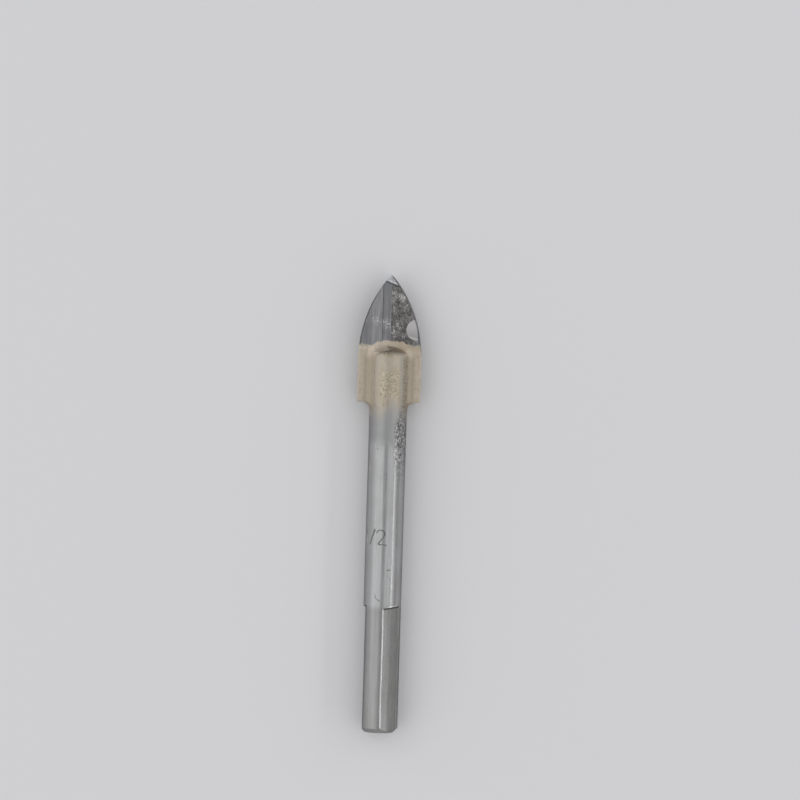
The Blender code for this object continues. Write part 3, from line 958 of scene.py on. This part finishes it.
# A dark brown lens of painted shade on the front of the nose, right of the middle.
lens_x = reckon(tree, "SUBTRACT", along[0], 0.0014)
lens_y = reckon(tree, "SUBTRACT", reckon(tree, "MULTIPLY_ADD", lens_x, -0.31, from_tip), 0.0151)
lens_shade_place = node(
    tree,
    "VectorMath",
    {
        0: node(
            tree,
            "CombineXYZ",
            {"X": reckon(tree, "DIVIDE", lens_x, 0.0021), "Y": reckon(tree, "DIVIDE", lens_y, 0.00055)},
        ).outputs[0]
    },
    operation="LENGTH",
).outputs["Value"]
tan_metal = mixed(
    tree, reckon(tree, "MULTIPLY", between(tree, lens_shade_place, 1.15, 0.75), 0.8), tan_metal, (0.26, 0.205, 0.15)
)
sooty = reckon(tree, "MULTIPLY", sooty, ramp(tree, specks, (0.42, 0.75), (0.52, 0.0)))
tan_metal = mixed(tree, sooty, tan_metal, (0.13, 0.11, 0.09))
on_crust = reckon(
    tree,
    "MULTIPLY",
    between(tree, from_tip, 0.0184, 0.0196),
    between(tree, off_middle, 0.0030, 0.0018),
)
flux = ramp(tree, fine, *flux_tones)
tan_metal = mixed(tree, reckon(tree, "MULTIPLY", on_crust, 0.85), tan_metal, flux)
tree.links.new(tan_metal, shader.inputs["Base Color"])
tree.links.new(ramp(tree, blotches, (0.3, 0.36), (0.7, 0.50)), shader.inputs["Roughness"])
dents = node(tree, "Bump", {"Strength": 0.4, "Distance": 0.00004, "Height": fine})
tree.links.new(dents.outputs[0], shader.inputs["Normal"])
braze.data.materials.clear()
braze.data.materials.append(brass)
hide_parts("braze_joint")
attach(braze, "root")

# Bench, light and camera
# A pale bench in a plain studio: a broad soft lamp and a low faint one on the left, a weaker one
# overhead to the right, a slim one that draws the long highlight on the bar, and a faint one by it.
put_down_everything()
bpy.ops.mesh.primitive_plane_add(size=6)
bench = new_piece("bench")
bench_paint = bpy.data.materials.new("bench_paint")
bench_paint.use_nodes = True
paint = bench_paint.node_tree.nodes["Principled BSDF"].inputs
paint["Base Color"].default_value = (0.80, 0.795, 0.81, 1)
paint["Roughness"].default_value = 0.7
bench.data.materials.append(bench_paint)

studio = bpy.data.worlds.new("studio")
bpy.context.scene.world = studio
studio.use_nodes = True
studio.node_tree.nodes["Background"].inputs["Color"].default_value = (0.98, 0.99, 1.0, 1)
studio.node_tree.nodes["Background"].inputs["Strength"].default_value = 0.50


def lamp(name, tilt, spread, brightness):
    """A soft box along the bit, tilted from overhead to the right. Its spread is its width in degrees."""
    distance, length = 0.8, 1.6
    light = bpy.data.lights.new(name, "AREA")
    light.shape = "RECTANGLE"
    width = 2 * distance * tan(radians(spread / 2))
    light.size, light.size_y = length, width
    light.energy = brightness * pi * length * width
    held = bpy.data.objects.new(name, light)
    bpy.context.collection.objects.link(held)
    held.location = (sin(radians(tilt)) * distance, 0, cos(radians(tilt)) * distance)
    held.rotation_euler = (-held.location).to_track_quat("-Z", "Y").to_euler()


lamp("broad_lamp", -43, 58, 0.50)
lamp("low_lamp", -80, 16, 0.28)
lamp("overhead_lamp", 27, 38, 0.36)
lamp("slim_lamp", 54, 5, 1.7)
lamp("side_lamp", 62, 14, 0.30)

pixels_per_metre = 4960
picture_width = 800
lens, sensor = 135, 36
camera = bpy.data.cameras.new("camera")
camera.lens = lens
camera.sensor_width = sensor
stand = bpy.data.objects.new("camera", camera)
bpy.context.collection.objects.link(stand)
stand.location = (0.0023178, 0.020959, axis_height + picture_width / pixels_per_metre * lens / sensor)
stand.rotation_euler = (0, 0, radians(1.75))
bpy.context.scene.camera = stand
bpy.context.scene.view_settings.view_transform = "Standard"
